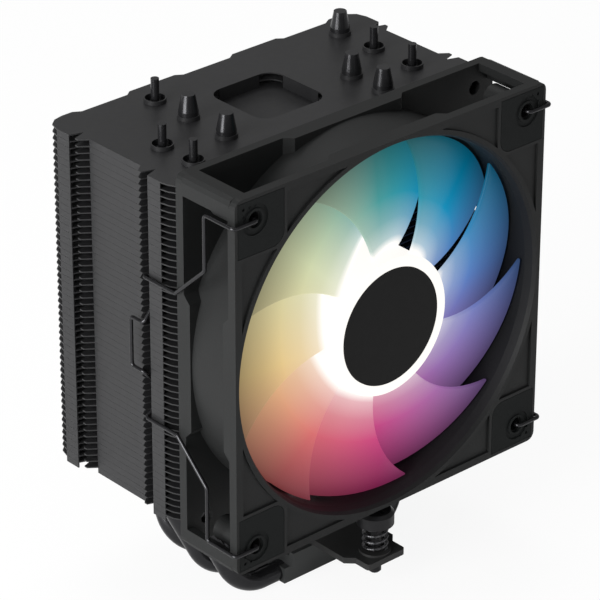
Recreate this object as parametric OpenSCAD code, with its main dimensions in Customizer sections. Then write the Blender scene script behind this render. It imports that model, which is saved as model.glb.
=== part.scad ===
// Single-tower CPU cooler: fin stack on five heat pipes, one 120 mm fan held by two wire clips,
// and a spring-screw crossbar over the contact block. Millimetres, Z up, fan towards -Y,
// origin at the middle of the contact face.

/* [Output] */
// Node to draw, or all

/* [Fins] */
// Number of fins in the tower
fin_count = 52; // [20:1:60]
// Distance from one fin to the next
fin_pitch = 2.12; // [1.6:0.01:3]
// Thickness of the fin sheet
fin_t = 0.4; // [0.3:0.05:0.6]
// Half width of a fin over its clip columns
fin_half_w = 60.3; // [50:0.1:70]
// How far the closed side wall stands in from the columns
wall_inset = 2.6; // [1:0.1:5]
// Front edge to back edge of a fin
fin_depth = 57.8; // [52:0.1:75]
// Height of the lowest fin's top face above the contact face
fin_bottom_z = 37.5; // [34:0.5:60]
// Gap left between a folded flange and the fin below it
flange_gap = 0.05; // [0.02:0.01:0.2]
// Width of the interlocking clip columns
column_w = 5.5; // [3:0.1:8]
// Depth of the wire groove cut into the fin edges
groove_depth = 4.3; // [2:0.1:6]
// Depth of the shallow recesses in the back edge
back_recess = 1.5; // [0.5:0.1:4]
// Width of the square pocket in the top
pocket_w = 25.4; // [14:0.1:34]
// Corner radius of the pocket
pocket_r = 5; // [2:0.5:7]
// Height of the raised collars on the top fin
collar_h = 1.3; // [0.5:0.1:3]
// Wall of a raised collar
collar_wall = 0.35; // [0.2:0.05:0.6]

/* [Heat pipes] */
// Outside diameter of a heat pipe
pipe_d = 6; // [5:0.1:6.2]
// Gap between a pipe and the holes it is pressed in
pipe_fit = 0.02; // [0.01:0.01:0.05]
// Half distance between the inner legs
inner_x = 27.3; // [26:0.1:32]
// Half distance between the outer legs
outer_x = 45.4; // [42:0.1:48]
// Distance between the pipe slots in the base
slot_pitch = 6.8; // [6.8:0.1:8]
// Depth milled off the pipes under the contact face
pipe_flat = 0.3; // [0.1:0.05:0.6]
// Bend radius beside the base
bend_r = 13; // [10:0.5:15]
// Height of the top of the pipes over the top fin
tip_h = 7.6; // [5:0.1:10]
// Diameter of the thin sealed tip
tip_d = 2.5; // [1.5:0.1:3.5]

/* [Base] */
// Width of the contact plate along the pipes
base_w = 40; // [36:0.5:44]
// Wall outside the outermost pipe slot
base_edge = 0.9; // [0.5:0.1:4]
// Thickness of the contact plate
base_t = 5.3; // [4.8:0.1:6]
// Thickness of the cover over the pipes
cover_t = 5; // [3:0.1:8]
// How far the cover overhangs the plate at the front and back
cover_over = 1.5; // [0:0.1:3]
// How far the cover ends inside the plate at each side
cover_in = 2.2; // [0.5:0.1:5]

/* [Crossbar] */
// Thickness of the crossbar
bar_t = 2; // [1.5:0.1:3]
// Half width of the crossbar over the base
bar_half_w = 10; // [9:0.5:14]
// Half width of its end tabs
tab_half_w = 7.5; // [7:0.1:9]
// Distance between the two spring screws
screw_span = 71.5; // [68:0.5:76]
// Shank diameter of a spring screw
screw_d = 4; // [3:0.1:4.4]
// Head diameter of a spring screw
head_d = 11.4; // [9:0.1:12]
// Height of the screw head
head_h = 4.6; // [3:0.1:6]
// Height of the spring between washer and head
spring_h = 9; // [7:0.1:11]
// Outside diameter of the spring
spring_od = 8.1; // [7:0.1:8.6]
// Wire of the spring
spring_wire = 1; // [0.7:0.05:1.1]
// Turns of the spring
spring_turns = 4; // [3:0.5:5]

/* [Fan] */
// Width and height of the fan frame
fan_size = 120; // [119:0.5:121]
// Depth of the fan frame
fan_depth = 25; // [24:0.5:28]
// Hole pitch of the fan frame
hole_pitch = 105; // [104:0.1:105.5]
// Hole diameter of the fan frame
hole_d = 4.3; // [4:0.1:4.6]
// Inside diameter of the duct
duct_d = 115.2; // [113:0.1:116]
// Thickness of the front and rear flanges
flange_t = 3; // [2:0.1:4]
// Gap between the back of the fan and the fins
fan_gap = 0.5; // [0.3:0.1:1]
// Height of the fan's middle
fan_z = 90.6; // [88:0.1:94]
// Radius of the rotor hub
hub_r = 22; // [19:0.5:24]
// Gap between blade tips and duct
tip_gap = 0.8; // [0.6:0.1:2]
// Number of blades
blade_count = 9; // [5:1:11]
// Thickness of a blade
blade_t = 1.6; // [1:0.1:2]
// Side of the rubber corner pads
pad_w = 18; // [14:0.5:19]
// Thickness of the rubber corner pads
pad_t = 1; // [0.6:0.1:1.5]
// Shaft diameter
shaft_d = 3; // [2:0.1:4]
// Running clearance of shaft and screws
run_gap = 0.05; // [0.02:0.01:0.09]

/* [Clips] */
// Wire diameter of the fan clips
clip_wire = 1.2; // [0.8:0.1:1.4]
// Gap between the clip wire and the frame
clip_gap = 0.3; // [0.2:0.05:0.6]

/* [Hidden] */
$fn = 64;
eps = 0.01;
joint_over = 0.012; // a bar's bends stand this much over its straights
base_slots = 5;
base_d = (base_slots - 1) * slot_pitch + pipe_d + 2 * base_edge;
pipe_r = pipe_d / 2;
pipe_z = pipe_r - pipe_flat;
fin_front = -16.5;
fin_back = fin_front + fin_depth;
fin_mid = fin_front + fin_depth / 2;
top_z = fin_bottom_z + (fin_count - 1) * fin_pitch;
wall_x = fin_half_w - wall_inset;
flange_h = fin_pitch - flange_gap;
pocket_depth = 2 * fin_pitch - flange_gap;
fan_back = fin_front - fan_gap;
fan_front = fan_back - fan_depth;
duct_r = duct_d / 2;
ring_r = fan_size / 2 - 0.6;
hp = hole_pitch / 2;
fh = fan_size / 2;
base_top = base_t + cover_t;
bar_top = base_top + bar_t;
screw_y = screw_span / 2;
washer_t = 0.8;
head_z = bar_top + washer_t + spring_h;
ring_t = 0.6;
ring_gap = 0.2;
ring_z = base_top - ring_gap - ring_t;
tip_z = 5;
tab_end = screw_y + 5.4;
leg_y = [fin_front + 9, fin_front + 15.8, fin_front + 22.6, fin_front + 32.5, fin_front + 47.5];
outer_left = [1, 0, 1, 0, 0];
wire_r = clip_wire / 2;
clip_x = max(fh, fin_half_w) + clip_gap + wire_r;
groove_at = 12.9; // middle of a clip groove behind the fin's front
seat_depth = 1.9; // the clip wire's middle inside the column's face

// ---- vectors and bent round bars ----
function unit(v) = v / norm(v);
function corner_angle(a, b, c) = acos(max(-1, min(1, unit(a - b) * unit(c - b))));
function tangent(a, b, c, r) = r / tan(corner_angle(a, b, c) / 2);

// Straight round bar from a to b
module rod(a, b, r) {
    d = b - a;
    l = norm(d);
    translate(a) rotate([0, acos(d[2] / l), atan2(d[1], d[0])]) rotate([0, 0, 50]) cylinder(r = r, h = l);
}

// Bend of radius br at corner b between a and c
module bend(a, b, c, br, r) {
    u = unit(a - b);
    v = unit(c - b);
    th = corner_angle(a, b, c);
    ctr = b + unit(u + v) * br / sin(th / 2);
    e1 = unit(b + u * tangent(a, b, c, br) - ctr);
    e2 = -u;
    e3 = cross(e1, e2);
    multmatrix([[e1[0], e2[0], e3[0], ctr[0]], [e1[1], e2[1], e3[1], ctr[1]], [e1[2], e2[2], e3[2], ctr[2]], [0, 0, 0, 1]])
        rotate_extrude(angle = 180 - th) translate([br, 0]) circle(r = r);
}

// Round bar through points p with bend radii br at the inner points; the straights run lap into the bends
module bent_bar(p, br, r, lap) {
    m = len(p);
    for (i = [0 : m - 2]) {
        d = unit(p[i + 1] - p[i]);
        a = i == 0 ? p[0] : p[i] + d * (tangent(p[i - 1], p[i], p[i + 1], br[i - 1]) - lap);
        b = i == m - 2 ? p[m - 1] : p[i + 1] - d * (tangent(p[i], p[i + 1], p[i + 2], br[i]) - lap);
        rod(a, b, r);
    }
    for (i = [1 : m - 2]) bend(p[i - 1], p[i], p[i + 1], br[i - 1], r + joint_over);
}

// ---- fins ----
// Half outline of a fin from the front middle to the back middle
function half_outline() = [
    [fin_half_w - 2.8, fin_front], [fin_half_w - 1.7, fin_front + 0.9], [fin_half_w - 0.6, fin_front + 3],
    [fin_half_w, fin_front + 5.9], [fin_half_w, fin_front + 5.9 + column_w],
    [fin_half_w - groove_depth, fin_front + groove_at], [fin_half_w, fin_front + 14.3], [fin_half_w, fin_front + 15.5],
    [wall_x, fin_front + 17.5], [wall_x, fin_mid * 2 - fin_front - 17.5],
    [fin_half_w, fin_mid * 2 - fin_front - 15.5], [fin_half_w, fin_mid * 2 - fin_front - 14.3],
    [fin_half_w - groove_depth, fin_back - groove_at],
    [fin_half_w, fin_back - 5.9 - column_w], [fin_half_w, fin_back - 5.9],
    [fin_half_w - 1, fin_back - 2.6], [fin_half_w - 3.3, fin_back - 0.7], [fin_half_w - 6.5, fin_back],
    [50, fin_back], [47.5, fin_back - back_recess], [30.5, fin_back - back_recess], [28.5, fin_back],
    [11.3, fin_back], [9, fin_back - back_recess]];

module fin_outline() {
    h = half_outline();
    n = len(h);
    polygon(concat(h, [for (i = [n - 1 : -1 : 0]) [-h[i][0], h[i][1]]]));
}

module leg_holes(z, h, r) {
    for (i = [0 : base_slots - 1]) for (s = [-1, 1]) translate([leg_x(i, s), leg_y[i], z]) cylinder(r = r, h = h);
}

// Folded flanges at both sides of a fin whose top face is at z = 0
module fin_flanges() {
    for (s = [-1, 1]) {
        translate([s > 0 ? wall_x - fin_t : -wall_x, fin_front + 17.5, -flange_h]) cube([fin_t, fin_depth - 35, flange_h]);
        for (y = [fin_front + 5.9, fin_back - 5.9 - column_w])
            translate([s > 0 ? fin_half_w - fin_t : -fin_half_w, y, -flange_h]) cube([fin_t, column_w, flange_h]);
    }
}

module fin_plate() {
    difference() {
        union() {
            translate([0, 0, -fin_t]) linear_extrude(height = fin_t) fin_outline();
            fin_flanges();
        }
        leg_holes(-fin_t - 1, fin_t + 2, pipe_r + pipe_fit);
    }
}

// Square hole with round corners, h deep below z = 0
module pocket_hole(h) {
    w = pocket_w / 2;
    translate([-w, fin_mid - w + pocket_r, -h]) cube([2 * w, 2 * w - 2 * pocket_r, h + 1]);
    translate([-w + pocket_r, fin_mid - w, -h]) cube([2 * w - 2 * pocket_r, 2 * w, h + 1]);
    for (x = [-1, 1]) for (y = [-1, 1]) translate([x * (w - pocket_r), fin_mid + y * (w - pocket_r), -h]) cylinder(r = pocket_r, h = h + 1);
}

module top_fin() {
    color([0.2, 0.2, 0.2]) translate([0, 0, top_z]) difference() {
        union() {
            difference() {
                fin_plate();
                pocket_hole(fin_pitch);
            }
            for (a = [0, 90, 180, 270]) translate([0, fin_mid, 0]) rotate([0, 0, a])
                translate([-(pocket_w / 2 - pocket_r), pocket_w / 2, -pocket_depth]) cube([pocket_w - 2 * pocket_r, fin_t, pocket_depth]);
            leg_holes(-eps, collar_h + eps, pipe_r + pipe_fit + collar_wall);
        }
        leg_holes(-fin_t - 1, collar_h + fin_t + 2, pipe_r + pipe_fit);
    }
}

module second_fin() {
    color([0.2, 0.2, 0.2]) translate([0, 0, top_z - fin_pitch]) difference() {
        fin_plate();
        pocket_hole(fin_pitch);
        translate([0, fin_mid, 0]) for (a = [0, 90]) rotate([0, 0, a])
            translate([-(pocket_w / 2 - pocket_r) - 0.2, -pocket_w / 2 - fin_t - 0.2, -1]) cube([pocket_w - 2 * pocket_r + 0.4, pocket_w + 2 * fin_t + 0.4, 2]);
    }
}

module fin_stack() {
    color([0.24, 0.24, 0.24]) for (i = [2 : fin_count - 1]) translate([0, 0, top_z - i * fin_pitch]) fin_plate();
}

// ---- heat pipes ----
function is_outer(i, s) = s < 0 ? outer_left[i] == 1 : outer_left[i] == 0;
function leg_x(i, s) = s * (is_outer(i, s) ? outer_x : inner_x);
function slot_y(i) = (i - (base_slots - 1) / 2) * slot_pitch;
function foot_x(i, s) = s * (i == 4 && s < 0 ? 40.5 : 34.5);
function knee_z(i, s) = i == 4 && s < 0 ? 33 : 28.5;

function cone_side(i) = is_outer(i, 1) ? (i == 4 ? 1 : -1) : 1;
function leg_end(i, s) = top_z + (s == cone_side(i) ? collar_h + 1.2 : -0.4);

module heat_pipe(i) {
    color([0.16, 0.16, 0.17]) difference() {
        union() {
            bent_bar([[leg_x(i, -1), leg_y[i], leg_end(i, -1)], [leg_x(i, -1), leg_y[i], knee_z(i, -1)], [foot_x(i, -1), slot_y(i), pipe_z],
                      [foot_x(i, 1), slot_y(i), pipe_z], [leg_x(i, 1), leg_y[i], knee_z(i, 1)], [leg_x(i, 1), leg_y[i], leg_end(i, 1)]],
                     [8, bend_r - (i == 4 ? 1 : 0), bend_r, 8], pipe_r, 0.2);
            for (s = [-1, 1]) translate([leg_x(i, s), leg_y[i], leg_end(i, s) - 0.1]) rotate([0, 0, 40]) {
                top = top_z + tip_h - leg_end(i, s) + 0.1;
                if (s == cone_side(i)) {
                    cylinder(r1 = pipe_r - 0.02, r2 = pipe_r * 0.66, h = top);
                } else {
                    cylinder(r1 = pipe_r - 0.02, r2 = tip_d / 2 + 0.05, h = 0.9);
                    cylinder(r = tip_d / 2, h = top - 0.2);
                }
            }
        }
        translate([-60, -60, -10]) cube([120, 120, 10]);
    }
}
module heat_pipe_1() { heat_pipe(0); }
module heat_pipe_2() { heat_pipe(1); }
module heat_pipe_3() { heat_pipe(2); }
module heat_pipe_4() { heat_pipe(3); }
module heat_pipe_5() { heat_pipe(4); }

// ---- base ----
module pipe_slots(l) {
    for (i = [0 : base_slots - 1]) translate([-l / 2, slot_y(i), pipe_z]) rotate([0, 90, 0]) cylinder(r = pipe_r + pipe_fit, h = l);
}

module bar_screw_places() {
    for (x = [-1, 1]) for (y = [-1, 1]) translate([x * (bar_half_w - 3.6), y * (base_d / 2 - 5), 0]) children();
}

module base_block() {
    w = base_w - 2 * cover_in;
    d = base_d + 2 * cover_over;
    color([0.36, 0.36, 0.36]) difference() {
        union() {
            translate([-base_w / 2, -base_d / 2, 0]) cube([base_w, base_d, base_t]);
            translate([-w / 2, -d / 2, base_t - 0.5]) cube([w, d, cover_t + 0.5]);
        }
        translate([-base_w / 2 - 1, base_d / 2, 0]) cube([base_w + 2, 9, base_t]);
        translate([-base_w / 2 - 1, -base_d / 2 - 9, 0]) cube([base_w + 2, 9, base_t]);
        pipe_slots(base_w + 2);
        bar_screw_places() translate([0, 0, base_top - 3.2]) cylinder(d = 2.5 + 2 * pipe_fit, h = 4);
        for (s = [-1, 1]) translate([s > 0 ? bar_half_w + 1.2 : -w / 2 - 1, -d / 2 + 2, base_top - 1.5]) cube([w / 2 - bar_half_w - 0.2, d - 4, 3]);
    }
}

// Plate with round corners, centred, from z = 0
module round_plate(w, d, t, r) {
    translate([-w / 2 + r, -d / 2, 0]) cube([w - 2 * r, d, t]);
    translate([-w / 2, -d / 2 + r, 0]) cube([w, d - 2 * r, t]);
    for (x = [-1, 1]) for (y = [-1, 1]) translate([x * (w / 2 - r), y * (d / 2 - r), 0]) cylinder(r = r, h = t);
}

module mounting_crossbar() {
    color([0.3, 0.3, 0.3]) translate([0, 0, base_top]) difference() {
        union() {
            round_plate(2 * tab_half_w, 2 * tab_end, bar_t, 1.2);
            linear_extrude(height = bar_t) polygon([[-bar_half_w, -screw_y + 2.8], [-tab_half_w, -screw_y + 0.4], [tab_half_w, -screw_y + 0.4], [bar_half_w, -screw_y + 2.8],
                [bar_half_w, screw_y - 2.8], [tab_half_w, screw_y - 0.4], [-tab_half_w, screw_y - 0.4], [-bar_half_w, screw_y - 2.8]]);
        }
        for (s = [-1, 1]) translate([0, s * screw_y, -1]) cylinder(d = screw_d + 2 * run_gap, h = bar_t + 2);
        bar_screw_places() translate([0, 0, -1]) cylinder(d = 2.9, h = bar_t + 2);
    }
}

module crossbar_screws() {
    color([0.55, 0.55, 0.57]) bar_screw_places() difference() {
        union() {
            translate([0, 0, base_top - 3]) cylinder(d = 2.5, h = 3 + bar_t);
            translate([0, 0, bar_top]) cylinder(d = 5, h = 1.1);
            translate([0, 0, bar_top + 1.1]) cylinder(d1 = 5, d2 = 3.6, h = 0.5);
        }
        translate([-1.4, -0.35, bar_top + 0.6]) cube([2.8, 0.7, 2]);
        translate([-0.35, -1.4, bar_top + 0.6]) cube([0.7, 2.8, 2]);
    }
}

// ---- spring screws ----
module spring_screw(y) {
    color([0.13, 0.13, 0.14]) translate([0, y, 0]) difference() {
        union() {
            translate([0, 0, tip_z + 0.6]) cylinder(d = screw_d, h = head_z - tip_z - 0.6 + eps);
            translate([0, 0, tip_z]) cylinder(d1 = screw_d - 1.2, d2 = screw_d, h = 0.6);
            translate([0, 0, head_z]) cylinder(d = head_d, h = head_h - 1);
            translate([0, 0, head_z + head_h - 1]) cylinder(d1 = head_d, d2 = head_d - 2, h = 1);
        }
        translate([0, 0, ring_z - 0.05]) difference() {
            cylinder(d = screw_d + 1, h = ring_t + 0.1);
            translate([0, 0, -1]) cylinder(d = screw_d - 0.8, h = ring_t + 3);
        }
        translate([-3.6, -0.6, head_z + head_h - 2]) cube([7.2, 1.2, 3]);
        translate([-0.6, -3.6, head_z + head_h - 2]) cube([1.2, 7.2, 3]);
    }
}
module front_spring_screw() { spring_screw(-screw_y); }
module rear_spring_screw() { spring_screw(screw_y); }

module retaining_ring(y) {
    color([0.6, 0.6, 0.62]) translate([0, y, ring_z]) difference() {
        cylinder(d = screw_d + 3.4, h = ring_t);
        translate([0, 0, -1]) cylinder(d = screw_d - 0.8 + 2 * run_gap, h = ring_t + 2);
        translate([-0.9, screw_d / 2 + 0.6, -1]) cube([1.8, 3, ring_t + 2]);
    }
}
module front_retaining_ring() { retaining_ring(-screw_y); }
module rear_retaining_ring() { retaining_ring(screw_y); }

// Section of a round wire wound with the given pitch, as seen from above
function coil_section(rm, w, pitch, n) = let (half = 180 * w / pitch) concat(
    [for (i = [0 : n]) let (t = -1 + 2 * i / n, a = half * t, q = w / 2 * sqrt(max(0, 1 - t * t))) [(rm + q) * cos(a), (rm + q) * sin(a)]],
    [for (i = [n - 1 : -1 : 1]) let (t = -1 + 2 * i / n, a = half * t, q = w / 2 * sqrt(max(0, 1 - t * t))) [(rm - q) * cos(a), (rm - q) * sin(a)]]);

module coil_spring(y) {
    pitch = (spring_h - 0.1) / spring_turns;
    color([0.5, 0.5, 0.52]) translate([0, y, bar_top + washer_t + 0.05])
        linear_extrude(height = spring_h - 0.1, twist = -360 * spring_turns, slices = 12 * spring_turns, $fn = 12)
            polygon(coil_section((spring_od - spring_wire) / 2, spring_wire, pitch, 5));
}
module front_spring() { coil_spring(-screw_y); }
module rear_spring() { coil_spring(screw_y); }

module spring_washers() {
    color([0.08, 0.08, 0.08]) for (s = [-1, 1]) translate([0, s * screw_y, bar_top]) difference() {
        cylinder(d = spring_od + 1.6, h = washer_t);
        translate([0, 0, -1]) cylinder(d = screw_d + 2 * run_gap, h = washer_t + 2);
    }
}

// ---- fan: local origin at the middle of the front face, y to the back ----
module fan_place() { translate([0, fan_front, fan_z]) children(); }
module y_cyl(y, h, r, r2 = -1) { translate([0, y, 0]) rotate([-90, 0, 0]) cylinder(r1 = r, r2 = r2 < 0 ? r : r2, h = h); }

// Square outline with softened corners
function frame_outline() = [for (k = [0 : 3]) for (a = [0 : 22.5 : 90])
    let (c = fh - 2.6, x = c + 2.6 * cos(a), y = c + 2.6 * sin(a)) k == 0 ? [x, y] : k == 1 ? [-y, x] : k == 2 ? [-x, -y] : [y, -x]];

// Square plate standing in the x-z plane
module frame_plate(y, t) {
    translate([0, y + t, 0]) rotate([90, 0, 0]) linear_extrude(height = t) polygon(frame_outline());
}

module fan_frame() {
    wall = 2.4;
    in = fan_depth - 2 * flange_t;
    color([0.23, 0.24, 0.23]) fan_place() difference() {
        union() {
            difference() {
                union() {
                    frame_plate(0, flange_t);
                    frame_plate(fan_depth - flange_t, flange_t);
                    for (a = [0, 90, 180, 270]) rotate([0, a, 0]) {
                        // thicker flange middles
                        translate([0, 0, fh - 6]) linear_extrude(height = 6) polygon([[-23, flange_t - 0.5], [-23, flange_t], [-20.5, flange_t + 2.4], [20.5, flange_t + 2.4], [23, flange_t], [23, flange_t - 0.5]]);
                        translate([0, 0, fh - 6]) linear_extrude(height = 6) polygon([[-23, fan_depth - flange_t + 0.5], [-23, fan_depth - flange_t], [-20.5, fan_depth - flange_t - 2.4], [20.5, fan_depth - flange_t - 2.4], [23, fan_depth - flange_t], [23, fan_depth - flange_t + 0.5]]);
                        // corner bars
                        translate([0, fan_depth - flange_t + 0.5, 0]) rotate([90, 0, 0]) linear_extrude(height = in + 1)
                            polygon([[fh - 6, fh], [fh - 2, fh], [fh - 0.6, fh - 0.6], [fh, fh - 2], [fh, fh - 6], [fh - wall, fh - 6], [fh - wall, fh - wall], [fh - 6, fh - wall]]);
                        // screw tubes
                        translate([hp, 0, hp]) y_cyl(flange_t - 0.5, 12, hole_d / 2 + 1.8);
                    }
                }
                y_cyl(-1, fan_depth + 2, ring_r - 0.3);
            }
            // duct with a bell mouth
            rotate([-90, 0, 0]) rotate_extrude() polygon([[ring_r, 0], [ring_r, fan_depth], [duct_r + 1, fan_depth], [duct_r, fan_depth - 3.5], [duct_r, 4], [duct_r + 0.5, 1.2], [duct_r + 1.2, 0]]);
            // motor seat and its four arms
            y_cyl(fan_depth - 3.2, 3.2, hub_r);
            for (a = [0 : 3]) rotate([0, 22 + 90 * a, 0]) translate([hub_r - 1, fan_depth - 3.8, -2.1]) cube([duct_r - hub_r + 1.8, 3.8, 4.2]);
        }
        // holes
        for (x = [-1, 1]) for (z = [-1, 1]) translate([x * hp, 0, z * hp]) y_cyl(-1, fan_depth + 2, hole_d / 2);
        // seats of the corner pads
        for (x = [-1, 1]) for (z = [-1, 1]) {
            pad_shape(x, z, -1, pad_t + 1, 0.15);
            pad_shape(x, z, fan_depth - pad_t, pad_t + 1, 0.15);
        }
        // sunk panels between the pads and the duct lip
        translate([0, 0.7, 0]) rotate([90, 0, 0]) difference() {
            linear_extrude(height = 2) square(fan_size - 5, center = true);
            translate([0, 0, -1]) cylinder(r = fh + 0.3, h = 4);
            for (x = [-1, 1]) for (y = [-1, 1]) translate([x * fh, y * fh, 0.5]) cube([2 * pad_w + 2.4, 2 * pad_w + 2.4, 5], center = true);
        }
        // bore for the bearing tube and the lead exit
        y_cyl(fan_depth - 6, 12, 4.5 + pipe_fit);
        translate([fh - 28, fan_depth - 2, -fh - 1]) cube([5, 4, 4]);
    }
}

// Rubber pad shape in corner (sx, sz), grown by g
module pad_shape(sx, sz, y, t, g) {
    r = 4 + g;
    i = fh - pad_w - g;
    o = fh - 1.2 + g;
    translate([0, y, 0]) mirror([sx < 0 ? 1 : 0, 0, 0]) mirror([0, 0, sz < 0 ? 1 : 0]) {
        translate([i + r, 0, i]) cube([o - i - r, t, o - i]);
        translate([i, 0, i + r]) cube([o - i, t, o - i - r]);
        translate([i + r, 0, i + r]) y_cyl(0, t, r);
    }
}

module pads(y, t, front) {
    for (x = [-1, 1]) for (z = [-1, 1]) difference() {
        pad_shape(x, z, y, t, 0);
        translate([x * hp, 0, z * hp]) y_cyl(y - 1, t + 2, hole_d / 2 + 0.4);
        if (front) {
            translate([x * hp, 0, z * hp]) difference() {
                y_cyl(y - 1, 1.4, hole_d / 2 + 2.6);
                y_cyl(y - 2, 4, hole_d / 2 + 1.2);
            }
            for (k = [0 : 2]) translate([x * (fh - 3.2), 0, z * (fh - 3.2 - k * 2.3)]) y_cyl(y - 1, 1.5, 0.5);
            for (k = [1 : 2]) translate([x * (fh - 3.2 - k * 2.3), 0, z * (fh - 3.2)]) y_cyl(y - 1, 1.5, 0.5);
        }
    }
}
module front_pads() { color([0.23, 0.24, 0.24]) fan_place() pads(0, pad_t, true); }
module rear_pads() { color([0.23, 0.24, 0.24]) fan_place() pads(fan_depth - pad_t, pad_t + fan_gap, false); }

module bearing_tube() {
    color([0.7, 0.58, 0.3]) fan_place() difference() {
        y_cyl(7, fan_depth - 7, 4.5);
        y_cyl(6, fan_depth - 8, shaft_d / 2 + run_gap);
    }
}

module stator_core() {
    color([0.5, 0.5, 0.52]) fan_place() difference() {
        union() {
            y_cyl(10, 7, 8);
            for (k = [0 : 5]) rotate([0, 60 * k, 0]) {
                translate([6.5, 10.2, -1.6]) cube([8, 6.6, 3.2]);
                translate([13.8, 10.2, -4.4]) cube([1.8, 6.6, 8.8]);
            }
        }
        y_cyl(9, 9, 4.5 + pipe_fit);
    }
}

module stator_coils() {
    color([0.72, 0.4, 0.2]) fan_place() for (k = [0 : 5]) rotate([0, 60 * k, 0]) difference() {
        translate([9, 8.8, -3]) cube([4.3, 9.4, 6]);
        translate([8, 10 - 0.05, -1.65]) cube([7, 7.1, 3.3]);
    }
}

module fan_pcb() {
    color([0.08, 0.2, 0.14]) fan_place() difference() {
        y_cyl(fan_depth - 5, 1.6, hub_r - 3);
        y_cyl(fan_depth - 8, 8, 4.5 + pipe_fit);
    }
}

module led_ring() {
    color([0.95, 0.95, 0.9]) fan_place() for (k = [0 : 7]) rotate([0, 45 * k, 0])
        translate([hub_r - 6.4, fan_depth - 5.9, -1.25]) cube([2.5, 0.9, 2.5]);
}

// One blade, centred on the +x direction
module blade() {
    br = 34;
    intersection() {
        difference() {
            y_cyl(2.2, 18, duct_r - tip_gap);
            y_cyl(0, 30, hub_r - 1);
        }
        translate([hub_r - 2, 11 + br * cos(42), br * sin(42)]) rotate([0, 90, 0]) difference() {
            cylinder(r = br, h = 40);
            translate([0, 0, -1]) cylinder(r = br - blade_t, h = 42);
        }
        translate([hub_r - 2, 0, -15]) cube([40, 21, 30]);
    }
}

module impeller() {
    color([0.92, 0.92, 0.92]) fan_place() {
        difference() {
            union() {
                y_cyl(1.6, 18.2, hub_r);
                y_cyl(0.8, 0.8, hub_r - 0.8, hub_r);
                for (k = [0 : blade_count - 1]) rotate([0, 360 / blade_count * k, 0]) blade();
            }
            y_cyl(3.2, 20, hub_r - 1.6);
            y_cyl(0, 1.4, hub_r - 3.3);
            y_cyl(0, 5, shaft_d / 2 + pipe_fit);
        }
    }
}

module hub_disc() { color([0.09, 0.08, 0.08]) fan_place() y_cyl(0.8, 0.55, hub_r - 3.5); }
module rotor_yoke() {
    color([0.45, 0.45, 0.47]) fan_place() difference() {
        y_cyl(3.2, 15, hub_r - 1.6 - pipe_fit);
        y_cyl(4.2, 20, hub_r - 2.6);
        y_cyl(0, 8, shaft_d / 2 + pipe_fit);
    }
}
module magnet_ring() {
    color([0.2, 0.2, 0.22]) fan_place() difference() {
        y_cyl(8.5, 9.5, hub_r - 2.6 - pipe_fit);
        y_cyl(8, 11, hub_r - 5);
    }
}
module rotor_shaft() { color([0.75, 0.75, 0.77]) fan_place() y_cyl(1.6, fan_depth - 3.9, shaft_d / 2); }

// ---- wire clips ----
module clip(s) {
    yf = fan_front - clip_gap - wire_r;
    xs = s * clip_x;
    gy = fin_front + groove_at;
    gx = s * (fin_half_w - seat_depth);
    zc = fan_z;
    function p(x, y, z) = [x, y, zc + z];
    color([0.62, 0.62, 0.64]) bent_bar([
        p(s * hp, fan_front + 4.5, hp), p(s * hp, yf, hp), p(xs, yf, hp), p(xs, fan_front + 11.5, hp), p(xs, fan_front + 11.5, 35),
        p(xs, fan_front + 24.4, 23), p(xs, gy, 23), p(gx, gy, 21.4), p(gx, gy, 11.5), p(xs + s * 0.3, gy, 8), p(xs + s * 0.3, fin_front + 18.5, 8),
        p(xs + s * 0.3, fin_front + 18.5, -8), p(xs + s * 0.3, gy, -8), p(gx, gy, -11.5), p(gx, gy, -21.4), p(xs, gy, -23),
        p(xs, fan_front + 24.4, -23), p(xs, fan_front + 11.5, -35), p(xs, fan_front + 11.5, -hp), p(xs, yf, -hp), p(s * hp, yf, -hp), p(s * hp, fan_front + 4.5, -hp)],
        [for (i = [1 : 20]) 1.2], wire_r, 0.08);
}
module clip_left() { clip(-1); }
module clip_right() { mirror([1, 0, 0]) clip(-1); }

top_fin();
second_fin();
fin_stack();
heat_pipe_1();
heat_pipe_2();
heat_pipe_3();
heat_pipe_4();
heat_pipe_5();
base_block();
mounting_crossbar();
crossbar_screws();
fan_frame();
front_pads();
rear_pads();
bearing_tube();
stator_core();
stator_coils();
fan_pcb();
led_ring();
impeller();
hub_disc();
magnet_ring();
rotor_yoke();
rotor_shaft();
clip_left();
clip_right();
front_spring_screw();
rear_spring_screw();
front_retaining_ring();
rear_retaining_ring();
front_spring();
rear_spring();
spring_washers();
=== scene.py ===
"""Looks for the tower cooler: materials, floor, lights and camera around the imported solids."""
import math

import bmesh
import bpy
from mathutils import Matrix, Vector


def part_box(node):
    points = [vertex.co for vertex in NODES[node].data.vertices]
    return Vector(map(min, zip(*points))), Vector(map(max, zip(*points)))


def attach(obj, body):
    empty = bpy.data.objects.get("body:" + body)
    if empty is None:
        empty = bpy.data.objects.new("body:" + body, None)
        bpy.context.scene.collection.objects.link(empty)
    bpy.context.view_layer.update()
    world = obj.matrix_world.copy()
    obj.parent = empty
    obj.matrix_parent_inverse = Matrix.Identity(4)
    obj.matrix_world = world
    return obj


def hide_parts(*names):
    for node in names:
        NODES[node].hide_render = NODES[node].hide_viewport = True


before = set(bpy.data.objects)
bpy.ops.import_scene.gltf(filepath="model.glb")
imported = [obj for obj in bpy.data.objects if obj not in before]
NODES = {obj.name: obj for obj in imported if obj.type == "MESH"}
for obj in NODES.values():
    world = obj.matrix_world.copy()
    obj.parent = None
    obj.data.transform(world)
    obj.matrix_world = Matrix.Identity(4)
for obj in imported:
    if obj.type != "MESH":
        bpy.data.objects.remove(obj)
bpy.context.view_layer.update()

# ---- material helpers: lengths in metres, noise scales in cycles per metre ----
PATCH_SCALE = 35.0  # slow change of colour and gloss over a surface
GRAIN_HEIGHT = 0.0003  # height of the grain on the plain surfaces
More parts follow.
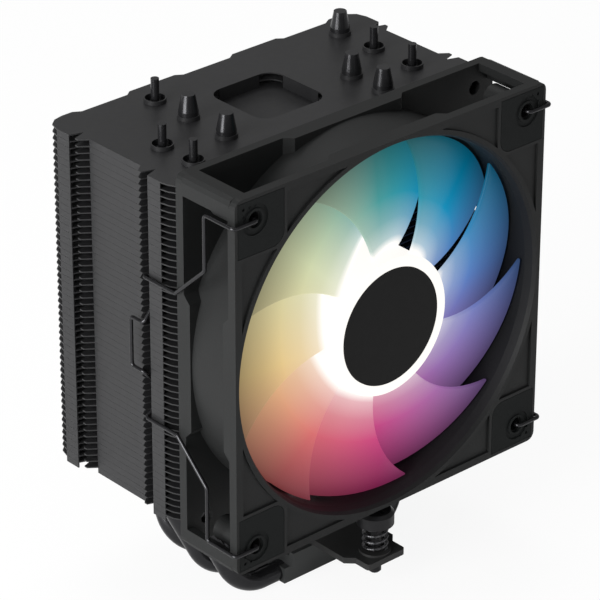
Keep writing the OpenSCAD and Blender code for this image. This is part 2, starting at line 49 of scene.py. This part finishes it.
FROST_GRAIN, FROST_BUMP, FROST_HEIGHT = 1400.0, 0.08, 0.0002
GLOW_INNER, GLOW_OUTER = 0.022, 0.058  # radii over which the painted hub glow changes
GLOW_STRENGTH = 0.95
# painted hub light on the rotor: share of white, and brightness (painted glow dimming towards the rim), from
# the inner radius (0) to the outer (1)
WHITE_SHARE = [(0.02, (1.0,) * 3), (0.09, (0.4,) * 3), (0.25, (0.14,) * 3), (0.45, (0.0,) * 3)]
RIM_FADE = [(0.44, (1.0,) * 3), (0.64, (0.7,) * 3), (0.83, (0.45,) * 3), (1.0, (0.22,) * 3)]
WARM_WHITE = (1.0, 0.97, 0.93, 1.0)
PAINTED_GLOW_IN_BASE = (0.12, 0.12, 0.12, 1.0)  # share of the painted hub glow, with its white centre and dim rim, copied into the plastic's base colour


def new_material(name):
    """A node material with its principled shader and output."""
    mat = bpy.data.materials.new(name)
    mat.use_nodes = True
    return mat, mat.node_tree, mat.node_tree.nodes["Principled BSDF"]


def node(tree, kind, **values):
    """Adds a shader node and sets its attributes."""
    made = tree.nodes.new(kind)
    for key, value in values.items():
        setattr(made, key, value)
    return made


def noise(tree, scale, detail=4.0, stretch=(1, 1, 1)):
    """Noise over the object's own coordinates."""
    coord = node(tree, "ShaderNodeTexCoord")
    mapping = node(tree, "ShaderNodeMapping")
    mapping.inputs["Scale"].default_value = stretch
    tex = node(tree, "ShaderNodeTexNoise")
    tex.inputs["Scale"].default_value = scale
    tex.inputs["Detail"].default_value = detail
    tree.links.new(coord.outputs["Object"], mapping.inputs["Vector"])
    tree.links.new(mapping.outputs["Vector"], tex.inputs["Vector"])
    return tex.outputs["Fac"]


def ramp(tree, source, stops):
    """Colour ramp over a value; stops are (position, (r, g, b))."""
    made = node(tree, "ShaderNodeValToRGB")
    elements = made.color_ramp.elements
    while len(elements) < len(stops):
        elements.new(0.5)
    for element, (pos, colour) in zip(elements, stops):
        element.position = pos
        element.color = (*colour, 1.0)
    tree.links.new(source, made.inputs["Fac"])
    return made.outputs["Color"]


def fine_bump(tree, shader, height, strength, distance):
    """Small relief from a height value."""
    bump_node = node(tree, "ShaderNodeBump")
    bump_node.inputs["Strength"].default_value = strength
    bump_node.inputs["Distance"].default_value = distance
    tree.links.new(height, bump_node.inputs["Height"])
    tree.links.new(bump_node.outputs["Normal"], shader.inputs["Normal"])


def surface(name, colour, rough, metal=0.0, vary=0.12, grain=900.0, bump=0.05,
            stretch=(1, 1, 1), coat=0.0, specular=0.5, rough_vary=0.08):
    """Coated, moulded or machined surface with fine grain in colour, roughness and bump."""
    mat, tree, shader = new_material(name)
    fine = noise(tree, grain, 5.0, stretch)
    broad = noise(tree, PATCH_SCALE, 3.0)
    mix = node(tree, "ShaderNodeMath", operation="MULTIPLY_ADD")
    mix.inputs[1].default_value = 0.5
    tree.links.new(fine, mix.inputs[0])
    half = node(tree, "ShaderNodeMath", operation="MULTIPLY")
    half.inputs[1].default_value = 0.5
    tree.links.new(broad, half.inputs[0])
    tree.links.new(half.outputs[0], mix.inputs[2])
    low = tuple(c * (1 - vary) for c in colour)
    high = tuple(min(1.0, c * (1 + vary)) for c in colour)
    tree.links.new(ramp(tree, mix.outputs[0], [(0.35, low), (0.65, high)]), shader.inputs["Base Color"])
    rough_map = node(tree, "ShaderNodeMapRange")
    rough_map.inputs["To Min"].default_value = max(0.02, rough - rough_vary)
    rough_map.inputs["To Max"].default_value = min(1.0, rough + rough_vary)
    tree.links.new(broad, rough_map.inputs["Value"])
    tree.links.new(rough_map.outputs["Result"], shader.inputs["Roughness"])
    shader.inputs["Metallic"].default_value = metal
    shader.inputs["Coat Weight"].default_value = coat
    shader.inputs["Specular IOR Level"].default_value = specular
    fine_bump(tree, shader, fine, bump, GRAIN_HEIGHT)
    return mat


def painted_led_glow(name, centre):
    """Milky plastic with the hub's LED light painted on as glow: the hue turns with the angle, white inside,
    deep at the rim; the same painted glow, dimmed, is its base colour.
    """
    mat, tree, shader = new_material(name)
    link = tree.links.new
    coord = node(tree, "ShaderNodeTexCoord")
    split = node(tree, "ShaderNodeSeparateXYZ")
    link(coord.outputs["Object"], split.inputs[0])
    up = node(tree, "ShaderNodeMath", operation="SUBTRACT")
    up.inputs[1].default_value = centre[2]
    link(split.outputs["Z"], up.inputs[0])
    angle = node(tree, "ShaderNodeMath", operation="ARCTAN2")
    link(up.outputs[0], angle.inputs[0])
    link(split.outputs["X"], angle.inputs[1])
    turn = node(tree, "ShaderNodeMapRange")
    turn.inputs["From Min"].default_value = -math.pi
    turn.inputs["From Max"].default_value = math.pi
    link(angle.outputs[0], turn.inputs["Value"])
    flat = node(tree, "ShaderNodeCombineXYZ")
    link(split.outputs["X"], flat.inputs["X"])
    link(up.outputs[0], flat.inputs["Z"])
    length = node(tree, "ShaderNodeVectorMath", operation="LENGTH")
    link(flat.outputs[0], length.inputs[0])
    hue = ramp(tree, turn.outputs["Result"], HUES)
    radius = node(tree, "ShaderNodeMapRange")
    radius.inputs["From Min"].default_value = GLOW_INNER
    radius.inputs["From Max"].default_value = GLOW_OUTER
    link(length.outputs["Value"], radius.inputs["Value"])
    white = ramp(tree, radius.outputs["Result"], WHITE_SHARE)
    dark = ramp(tree, radius.outputs["Result"], RIM_FADE)
    to_white = node(tree, "ShaderNodeMix", data_type="RGBA")
    link(white, to_white.inputs["Factor"])
    link(hue, to_white.inputs[6])
    to_white.inputs[7].default_value = WARM_WHITE
    shade = node(tree, "ShaderNodeMix", data_type="RGBA", blend_type="MULTIPLY")
    shade.inputs["Factor"].default_value = 1.0
    link(to_white.outputs[2], shade.inputs[6])
    link(dark, shade.inputs[7])
    # painted light: the glow's colour, dimmed, is used as the plastic's base colour
    dim = node(tree, "ShaderNodeMix", data_type="RGBA", blend_type="MULTIPLY")
    dim.inputs["Factor"].default_value = 1.0
    dim.inputs[7].default_value = PAINTED_GLOW_IN_BASE
    link(shade.outputs[2], dim.inputs[6])
    link(dim.outputs[2], shader.inputs["Base Color"])
    # painted light: the hub's LED light on the blades and cup, given as emission
    link(shade.outputs[2], shader.inputs["Emission Color"])
    shader.inputs["Emission Strength"].default_value = GLOW_STRENGTH
    shader.inputs["Roughness"].default_value = 0.35
    shader.inputs["Specular IOR Level"].default_value = 0.12
    fine_bump(tree, shader, noise(tree, FROST_GRAIN), FROST_BUMP, FROST_HEIGHT)
    return mat


# one colour for each light round the hub, from the left through the bottom, right and top
LIGHT_COLOURS = {
    "amber": (0.75, 0.55, 0.25), "red": (0.65, 0.15, 0.15), "crimson": (0.55, 0.05, 0.2),
    "violet": (0.3, 0.15, 0.4), "blue": (0.1, 0.2, 0.5), "azure": (0.0, 0.25, 0.45),
    "teal": (0.05, 0.3, 0.3), "lime": (0.6, 0.65, 0.4),
}
ROUND_TRIP = [*LIGHT_COLOURS.values(), LIGHT_COLOURS["amber"]]
HUES = [(k / len(LIGHT_COLOURS), colour) for k, colour in enumerate(ROUND_TRIP)]
FAN_CENTRE = (0.0, -0.03, 0.0906)

MATERIALS = {
    "fin": surface("black_fin", (0.02, 0.02, 0.021), 0.4, 0.25, grain=500, bump=0.03, specular=0.3),
    "pipe": surface("black_nickel", (0.03, 0.03, 0.032), 0.22, 0.7,
                    grain=300, bump=0.02, specular=0.4),
    "base": surface("milled_aluminium", (0.05, 0.052, 0.052), 0.42, 0.6,
                    grain=260, bump=0.08, stretch=(0.1, 1, 1)),
    "bar": surface("satin_black_steel", (0.028, 0.028, 0.028), 0.4, 0.4,
                   grain=700, bump=0.04, specular=0.3),
    "zinc": surface("zinc_steel", (0.42, 0.42, 0.44), 0.3, 1.0, grain=400, bump=0.04),
    "frame": surface("moulded_frame", (0.011, 0.0115, 0.0115), 0.5, 0.0,
                     grain=1500, bump=0.12, specular=0.16),
    "pad": surface("pad_rubber", (0.008, 0.009, 0.009), 0.7, 0.0,
                   grain=1800, bump=0.2, specular=0.12),
    "brass": surface("bearing_brass", (0.6, 0.4, 0.12), 0.3, 1.0, grain=500),
    "copper": surface("coil_copper", (0.6, 0.22, 0.08), 0.35, 1.0,
                      grain=900, bump=0.2, stretch=(1, 6, 1)),
    "core": surface("motor_steel", (0.3, 0.3, 0.32), 0.4, 1.0,
                    grain=700, bump=0.1, stretch=(1, 8, 1)),
    "board": surface("green_board", (0.01, 0.09, 0.05), 0.45, 0.0, grain=500),
    "led": surface("led_white", (0.9, 0.9, 0.86), 0.35, 0.0, vary=0.04),
    "hub": surface("black_disc", (0.004, 0.004, 0.004), 0.3, 0.0,
                   grain=600, bump=0.02, vary=0.2, specular=0.1),
    "magnet": surface("ferrite", (0.03, 0.03, 0.032), 0.6, 0.1),
    "wire": surface("clip_wire", (0.03, 0.03, 0.032), 0.25, 0.8,
                    grain=800, bump=0.03, specular=0.4),
    "oxide": surface("black_oxide", (0.014, 0.014, 0.015), 0.35, 0.6),
    "spring": surface("spring_wire", (0.10, 0.10, 0.105), 0.28, 0.9, grain=600, bump=0.03),
    "washer": surface("black_washer", (0.008, 0.008, 0.008), 0.6, 0.0),
    # rotor: the hub's LED light painted on as glow and base colour
    "rotor": painted_led_glow("frosted_rotor_painted_glow", FAN_CENTRE),
}
DRESS = {
    "fin": ["top_fin", "second_fin", "fin_stack"],
    "pipe": ["heat_pipe_1", "heat_pipe_2", "heat_pipe_3", "heat_pipe_4", "heat_pipe_5"],
    "base": ["base_block"], "bar": ["mounting_crossbar"],
    "zinc": ["crossbar_screws", "front_retaining_ring", "rear_retaining_ring"],
    "frame": ["fan_frame"], "pad": ["front_pads", "rear_pads"], "brass": ["bearing_tube"],
    "core": ["stator_core", "rotor_yoke", "rotor_shaft"], "copper": ["stator_coils"], "board": ["fan_pcb"],
    "led": ["led_ring"], "hub": ["hub_disc"], "magnet": ["magnet_ring"], "wire": ["clip_left", "clip_right"],
    "oxide": ["front_spring_screw", "rear_spring_screw"], "spring": ["front_spring", "rear_spring"],
    "washer": ["spring_washers"], "rotor": ["impeller"],
}
for key, names in DRESS.items():
    for name in names:
        obj = NODES[name]
        if not obj.material_slots:
            obj.data.materials.append(MATERIALS[key])
        for material_slot in obj.material_slots:
            material_slot.material = MATERIALS[key]

# ---- impeller: hub cup and wide overlapping blades ----
FAN_FRONT_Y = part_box("fan_frame")[0][1]
# hub cup as radius and depth behind the frame's front, in millimetres
HUB_PROFILE = [(1.6, 1.8), (18.6, 1.8), (18.6, 0.8), (21.2, 0.8), (21.8, 1.0), (22.0, 1.6),
               (22.0, 19.8), (20.45, 19.8), (20.45, 3.1), (1.6, 3.1)]
BLADES, BLADE_ROOT, BLADE_TIP = 9, 0.0215, 0.0566
ROOT_SPAN, SPAN_LOSS = 60, 4  # degrees that a blade covers at its root, and how much less at its tip
SWEEP, SWEEP_CURVE, SWEEP_SHIFT = 22, 1.4, 0.4  # degrees of sweep to the tip, its growth, and its zero
ROOT_DEPTH, DEPTH_LOSS = 0.0125, 0.002  # front to back of a blade at its root, and how much less at its tip
BLADE_MIDDLE, CAMBER = 0.0105, 0.0013  # depth of a blade's middle behind the frame's front, and its crown
BLADE_THICKNESS, BLADE_EDGE = 0.0012, 0.0004
SHARP_ANGLE = 35  # degrees between faces of the cup that stay a crisp edge
RADIAL_STEPS, CHORD_STEPS, HUB_STEPS = 14, 18, 96


def around_fan(radius, angle, depth):
    """Point at a radius and angle about the fan axis, depth behind the frame's front."""
    return (radius * math.cos(angle), FAN_FRONT_Y + depth, FAN_CENTRE[2] + radius * math.sin(angle))


def blade_points(turn):
    """Swept, cambered blade surface with its leading edge towards the front."""
    points = []
    for i in range(RADIAL_STEPS + 1):
        out = i / RADIAL_STEPS
        radius = BLADE_ROOT + (BLADE_TIP - BLADE_ROOT) * out
        span = math.radians(ROOT_SPAN - SPAN_LOSS * out)
        sweep = math.radians(SWEEP) * (out ** SWEEP_CURVE - SWEEP_SHIFT)
        depth = ROOT_DEPTH - DEPTH_LOSS * out
        for j in range(CHORD_STEPS + 1):
            along = j / CHORD_STEPS
            camber = CAMBER * math.sin(math.pi * along)
            angle = turn + sweep + (along - 0.5) * span
            points.append(around_fan(radius, angle, BLADE_MIDDLE - (along - 0.5) * depth - camber))
    return points


def mesh_object(name, points, faces, material):
    """Smooth-shaded mesh object with its normals made consistent."""
    mesh = bpy.data.meshes.new(name)
    mesh.from_pydata(points, [], faces)
    shape = bmesh.new()
    shape.from_mesh(mesh)
    bmesh.ops.recalc_face_normals(shape, faces=shape.faces)
    shape.to_mesh(mesh)
    shape.free()
    mesh.shade_smooth()
    made = bpy.data.objects.new(name, mesh)
    bpy.context.scene.collection.objects.link(made)
    mesh.materials.append(material)
    return made


def rotor_blades():
    """All blades as one mesh, given their thickness by a solidify modifier."""
    points, faces = [], []
    row = CHORD_STEPS + 1
    for k in range(BLADES):
        start = len(points)
        points += blade_points(math.tau * k / BLADES)
        for i in range(RADIAL_STEPS):
            for j in range(CHORD_STEPS):
                a = start + i * row + j
                faces.append((a, a + 1, a + row + 1, a + row))
    made = mesh_object("rotor_blades", points, faces, MATERIALS["rotor"])
    thick = made.modifiers.new("thickness", "SOLIDIFY")
    thick.thickness, thick.offset = BLADE_THICKNESS, 0.0
    edges = made.modifiers.new("soft_edges", "BEVEL")
    edges.width, edges.segments, edges.limit_method = BLADE_EDGE, 2, "ANGLE"
    return made


def rotor_cup():
    """Hub cup turned from its profile."""
    points, faces = [], []
    count = len(HUB_PROFILE)
    for i in range(HUB_STEPS):
        angle = math.tau * i / HUB_STEPS
        points += [around_fan(r / 1000, angle, depth / 1000) for r, depth in HUB_PROFILE]
        following = (i + 1) % HUB_STEPS
        for j in range(count):
            k = (j + 1) % count
            faces.append((i * count + j, i * count + k, following * count + k, following * count + j))
    made = mesh_object("rotor_cup", points, faces, MATERIALS["rotor"])
    made.data.set_sharp_from_angle(angle=math.radians(SHARP_ANGLE))
    return made


for piece in (rotor_blades(), rotor_cup()):
    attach(piece, "fan_rotor")
    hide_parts("impeller")

# ---- floor, world and lights ----


def camera_white(tree, shader_socket, share):
    """Mixes plain white into a surface for camera rays, so that the floor shows pale with its shadow."""
    path = node(tree, "ShaderNodeLightPath")
    glow = node(tree, "ShaderNodeEmission")
    glow.inputs["Strength"].default_value = 1.0
    factor = node(tree, "ShaderNodeMath", operation="MULTIPLY")
    factor.inputs[1].default_value = share
    tree.links.new(path.outputs["Is Camera Ray"], factor.inputs[0])
    mixed = node(tree, "ShaderNodeMixShader")
    tree.links.new(factor.outputs[0], mixed.inputs[0])
    tree.links.new(shader_socket, mixed.inputs[1])
    tree.links.new(glow.outputs[0], mixed.inputs[2])
    return mixed.outputs[0]


bpy.ops.mesh.primitive_plane_add(size=8.0, location=(0, 0, -0.0002))
floor = bpy.context.object
floor.name = "floor"
floor_mat, floor_tree, floor_shader = new_material("pale_floor")
floor_shader.inputs["Base Color"].default_value = (0.9, 0.9, 0.9, 1.0)
floor_shader.inputs["Roughness"].default_value = 0.9
floor_shader.inputs["Specular IOR Level"].default_value = 0.1
floor_tree.links.new(camera_white(floor_tree, floor_shader.outputs[0], 0.9),
                     floor_tree.nodes["Material Output"].inputs["Surface"])
floor.data.materials.append(floor_mat)

WORLD_LIGHT = 0.36  # light on the object; the camera sees the background at 1
scene = bpy.context.scene
scene.view_settings.view_transform = "Standard"
world = bpy.data.worlds.new("studio")
scene.world = world
world.use_nodes = True
world_tree = world.node_tree
background = world_tree.nodes["Background"]
path = node(world_tree, "ShaderNodeLightPath")
strength = node(world_tree, "ShaderNodeMapRange")
strength.inputs["To Min"].default_value = WORLD_LIGHT
strength.inputs["To Max"].default_value = 1.0
world_tree.links.new(path.outputs["Is Camera Ray"], strength.inputs["Value"])
world_tree.links.new(strength.outputs["Result"], background.inputs["Strength"])
background.inputs["Color"].default_value = (1.0, 1.0, 1.0, 1.0)


def area_light(name, place, target, size, power):
    """Soft square lamp at place, facing target."""
    lamp = bpy.data.lights.new(name, "AREA")
    lamp.size = size
    lamp.energy = power
    holder = bpy.data.objects.new(name, lamp)
    scene.collection.objects.link(holder)
    holder.location = place
    holder.rotation_euler = (Vector(target) - Vector(place)).to_track_quat("-Z", "Y").to_euler()


# name, place, point faced, size and power
LAMPS = [
    ("left_soft", (-1.3, -0.1, 0.45), (0, 0, 0.08), 0.9, 32.0),
    ("front_soft", (0.2, -1.5, 0.6), (0, 0, 0.08), 0.8, 1.5),
    ("top_soft", (0.2, 0.5, 1.4), (0, 0, 0.1), 0.8, 7.0),
]
for lamp_values in LAMPS:
    area_light(*lamp_values)

# ---- camera: fitted to the standard fan's corners and holes ----
AZIMUTH, ELEVATION, ROLL = math.radians(-41.883), math.radians(28.016), math.radians(0.144)
SHIFT_RIGHT, SHIFT_UP, DISTANCE = -0.026803, 0.007963, 1.072664
FAN_FRONT_CENTRE = Vector((0.0, -0.042, 0.0906))
LENS = 222.774
back = Vector((math.sin(AZIMUTH) * math.cos(ELEVATION),
               -math.cos(AZIMUTH) * math.cos(ELEVATION), math.sin(ELEVATION)))
right = Vector((math.cos(AZIMUTH), math.sin(AZIMUTH), 0.0))
up = back.cross(right)
right, up = (math.cos(ROLL) * right + math.sin(ROLL) * up, -math.sin(ROLL) * right + math.cos(ROLL) * up)
camera_data = bpy.data.cameras.new("camera")
camera_data.lens = LENS
camera_data.sensor_width = 36.0
camera_data.clip_start = 0.05
camera = bpy.data.objects.new("camera", camera_data)
scene.collection.objects.link(camera)
place = FAN_FRONT_CENTRE + back * DISTANCE + right * SHIFT_RIGHT + up * SHIFT_UP
camera.matrix_world = Matrix(((right.x, up.x, back.x, place.x), (right.y, up.y, back.y, place.y),
                              (right.z, up.z, back.z, place.z), (0, 0, 0, 1)))
scene.camera = camera
